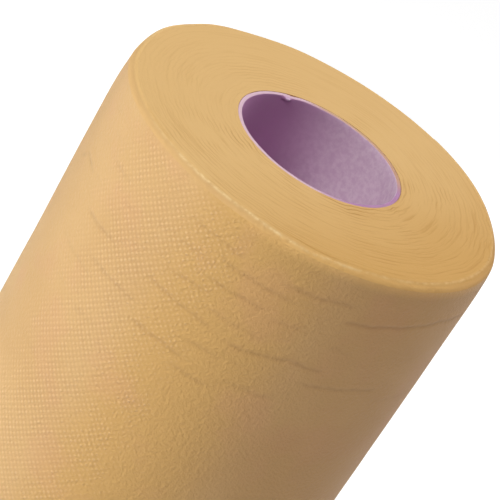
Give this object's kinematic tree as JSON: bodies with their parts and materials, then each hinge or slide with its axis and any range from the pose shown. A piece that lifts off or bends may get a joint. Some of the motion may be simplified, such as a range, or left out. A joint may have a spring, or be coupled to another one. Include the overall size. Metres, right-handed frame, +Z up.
{
  "type": "examination couch roll",
  "caption": "Long roll of embossed paper wound on a cardboard tube, for covering an examination couch.",
  "frame": {"origin": "centre of the roll's lower cut end, on the surface that the roll stands on", "axes": "+Z up along the axis of the roll, +Y away from the camera of the picture, +X to the right"},
  "size_m": [0.1145, 0.1146, 0.5],
  "materials": {
    "paper": "matt, soft, with a small raised dot embossed all over",
    "core_board": "matt greyish-pink board, paler on the cut edge"
  },
  "bodies": {
    "root": {"paper_roll": "paper", "core_tube": "core_board"}
  },
  "joints": []
}
